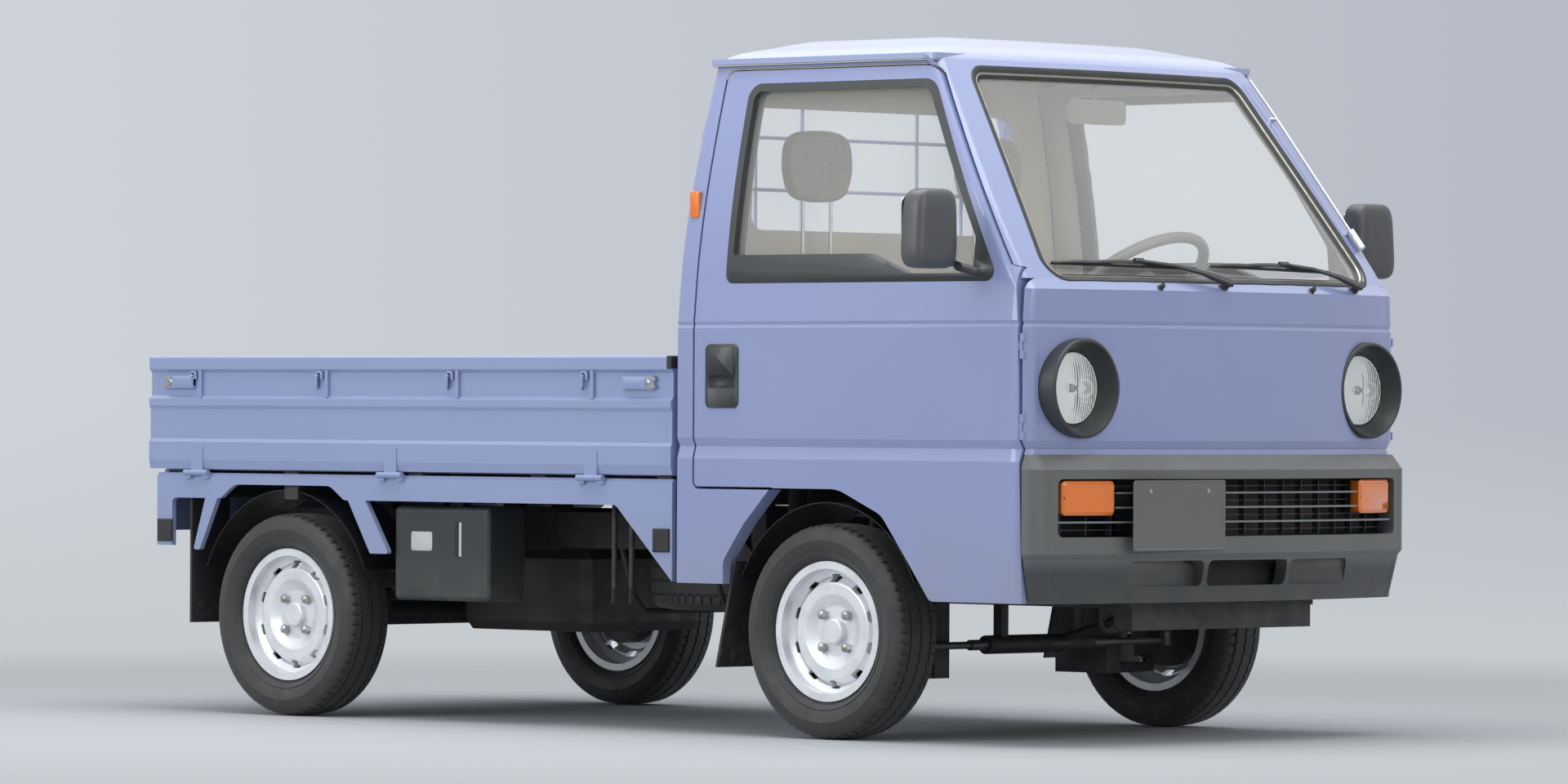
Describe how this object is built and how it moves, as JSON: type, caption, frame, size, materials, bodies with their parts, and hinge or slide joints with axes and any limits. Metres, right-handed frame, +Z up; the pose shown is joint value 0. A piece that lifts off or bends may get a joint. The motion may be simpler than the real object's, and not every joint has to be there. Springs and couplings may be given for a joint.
{
  "type": "kei pickup truck",
  "caption": "Small cab-over pickup truck with an open drop-side load bed, hinged doors and gates, steering and rolling wheels.",
  "frame": {"origin": "on the ground, at the middle of the truck's length and width", "axes": "+X to the front, +Y to the truck's left, +Z up"},
  "size_m": [3.195, 1.7788, 1.701],
  "materials": {
    "body_paint": "satin, sun-faded",
    "bed_paint": "worn",
    "chassis_paint": "matte",
    "wheel_paint": "satin",
    "cast": "rough",
    "steel": "dull",
    "chrome": "polished",
    "tyre": "matte",
    "rubber": "matte",
    "dark_plastic": "grained",
    "trim_plastic": "grained",
    "amber": "clear amber",
    "lamp_red": "clear red",
    "lamp_glass": "fluted",
    "glass": "clear",
    "seat_fabric": "woven"
  },
  "bodies": {
    "chassis": {"cab_frame": "body_paint", "cab_back_panel": "body_paint", "cab_front_panel": "body_paint", "cab_roof": "body_paint", "cab_floor": "body_paint", "cab_glass": "glass", "front_bumper": "dark_plastic", "grille": "dark_plastic", "indicators": "amber", "headlamp_bezels": "dark_plastic", "headlamp_lenses": "lamp_glass", "wipers": "dark_plastic", "antenna": "chrome", "dashboard": "trim_plastic", "controls": "dark_plastic", "seat_cushions": "seat_fabric", "seat_backs": "seat_fabric", "bed_deck": "bed_paint", "bed_headboard": "body_paint", "bed_skirts": "body_paint", "tail_lamps": "lamp_red", "mudflaps": "rubber", "frame": "chassis_paint", "engine_block": "cast", "exhaust": "steel", "fuel_tank": "chassis_paint", "rear_axle": "chassis_paint", "front_suspension": "chassis_paint", "side_box": "dark_plastic", "spare_wheel": "tyre"},
    "right_door": {"door_right": "body_paint", "door_glass_right": "glass", "door_fittings_right": "dark_plastic"},
    "left_door": {"door_left": "body_paint", "door_glass_left": "glass", "door_fittings_left": "dark_plastic"},
    "right_gate": {"gate_right": "body_paint"},
    "left_gate": {"gate_left": "body_paint"},
    "tailgate": {"gate_rear": "body_paint"},
    "right_knuckle": {"knuckle_right": "cast"},
    "left_knuckle": {"knuckle_left": "cast"},
    "rack": {"steering_rack": "steel"},
    "handwheel": {"steering_wheel": "dark_plastic"},
    "wheel_front_right": {"tyre_front_right": "tyre", "rim_front_right": "wheel_paint"},
    "wheel_front_left": {"tyre_front_left": "tyre", "rim_front_left": "wheel_paint"},
    "wheel_rear_right": {"tyre_rear_right": "tyre", "rim_rear_right": "wheel_paint"},
    "wheel_rear_left": {"tyre_rear_left": "tyre", "rim_rear_left": "wheel_paint"}
  },
  "joints": [
    {"name": "steer_right", "type": "hinge", "parent": "chassis", "child": "right_knuckle", "pos_m": [0.8105, -0.522, 0.175], "axis": [0, 0.0872, 0.9962], "range_deg": [-34, 34]},
    {"name": "steer_left", "type": "hinge", "parent": "chassis", "child": "left_knuckle", "pos_m": [0.8105, 0.522, 0.175], "axis": [0, -0.0872, 0.9962], "range_deg": [-34, 34]},
    {"name": "rack_travel", "type": "slide", "parent": "chassis", "child": "rack", "axis": [0, 1, 0], "range_m": [-0.054, 0.054]},
    {"name": "steering_wheel_spin", "type": "hinge", "parent": "chassis", "child": "handwheel", "pos_m": [0.9385, 0.33, 1.112], "axis": [-0.6018, 0, 0.7986], "range_deg": [-580, 580]},
    {"name": "roll_front_right", "type": "hinge", "parent": "right_knuckle", "child": "wheel_front_right", "pos_m": [0.8105, -0.6, 0.26], "axis": [0, 1, 0], "continuous": true},
    {"name": "roll_front_left", "type": "hinge", "parent": "left_knuckle", "child": "wheel_front_left", "pos_m": [0.8105, 0.6, 0.26], "axis": [0, 1, 0], "continuous": true},
    {"name": "roll_rear_right", "type": "hinge", "parent": "chassis", "child": "wheel_rear_right", "pos_m": [-1.0895, -0.6, 0.26], "axis": [0, 1, 0], "continuous": true},
    {"name": "roll_rear_left", "type": "hinge", "parent": "chassis", "child": "wheel_rear_left", "pos_m": [-1.0895, 0.6, 0.26], "axis": [0, 1, 0], "continuous": true},
    {"name": "right_door_swing", "type": "hinge", "parent": "chassis", "child": "right_door", "pos_m": [1.4585, -0.682, 0.85], "axis": [0, 0, 1], "range_deg": [0, 70]},
    {"name": "left_door_swing", "type": "hinge", "parent": "chassis", "child": "left_door", "pos_m": [1.4585, 0.682, 0.85], "axis": [0, 0, -1], "range_deg": [0, 70]},
    {"name": "right_gate_drop", "type": "hinge", "parent": "chassis", "child": "right_gate", "pos_m": [0, -0.69, 0.622], "axis": [1, 0, 0], "range_deg": [0, 180]},
    {"name": "left_gate_drop", "type": "hinge", "parent": "chassis", "child": "left_gate", "pos_m": [0, 0.69, 0.622], "axis": [-1, 0, 0], "range_deg": [0, 180]},
    {"name": "tailgate_drop", "type": "hinge", "parent": "chassis", "child": "tailgate", "pos_m": [-1.59, 0, 0.622], "axis": [0, -1, 0], "range_deg": [0, 180]}
  ],
  "couplings": [
    {"joint": "steer_left", "follows": "steer_right", "ratio": 1},
    {"joint": "rack_travel", "follows": "steer_right", "m_per_rad": 0.0893},
    {"joint": "steering_wheel_spin", "follows": "steer_right", "ratio": 17}
  ]
}
